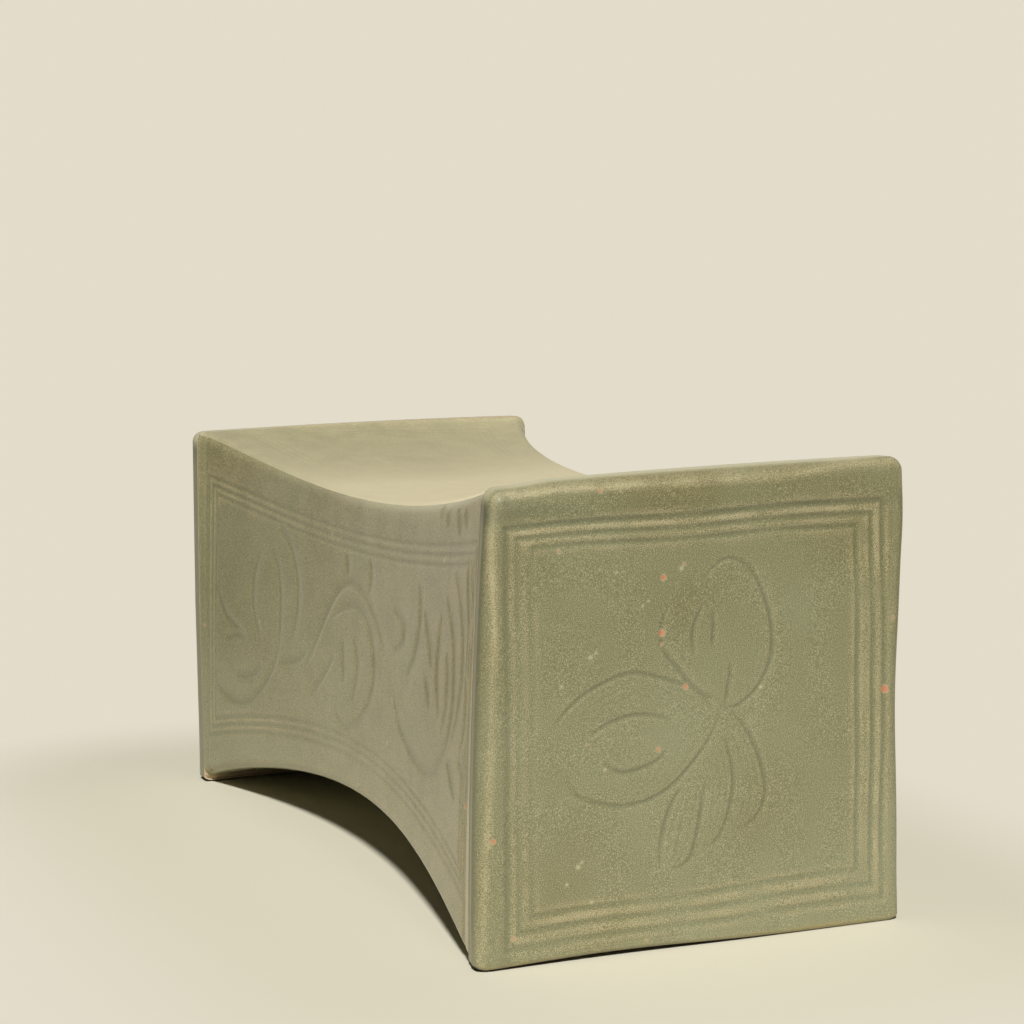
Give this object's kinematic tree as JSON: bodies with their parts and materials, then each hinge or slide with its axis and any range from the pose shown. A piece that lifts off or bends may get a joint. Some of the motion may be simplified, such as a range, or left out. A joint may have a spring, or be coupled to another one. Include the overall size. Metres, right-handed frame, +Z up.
{
  "type": "ceramic pillow",
  "caption": "Hollow slab-built stoneware pillow in olive celadon: a waisted body, dipped on top as a saddle for the head, between flat square end panels with incised borders and leaf sprays.",
  "frame": {"origin": "centre of the footprint, on the plane that the two end panels stand on", "axes": "+X along the length towards the right end panel, +Y from front to back, +Z up"},
  "size_m": [0.242, 0.117, 0.1175],
  "materials": {
    "celadon_glaze": "semi-matte olive celadon glaze, thin and tan on edges, pooled and darker in incised lines",
    "stoneware_clay": "bare fired clay"
  },
  "bodies": {
    "root": {"headrest_slab": "celadon_glaze", "base_slab": "celadon_glaze", "front_wall": "celadon_glaze", "back_wall": "celadon_glaze", "right_end_panel": "celadon_glaze", "left_end_panel": "celadon_glaze", "front_top_slip": "stoneware_clay", "back_top_slip": "stoneware_clay", "front_base_slip": "stoneware_clay", "back_base_slip": "stoneware_clay", "right_end_slip": "stoneware_clay", "left_end_slip": "stoneware_clay", "front_top_coil": "stoneware_clay", "back_top_coil": "stoneware_clay", "front_base_coil": "stoneware_clay", "back_base_coil": "stoneware_clay", "right_end_coil": "stoneware_clay", "left_end_coil": "stoneware_clay"}
  },
  "joints": []
}
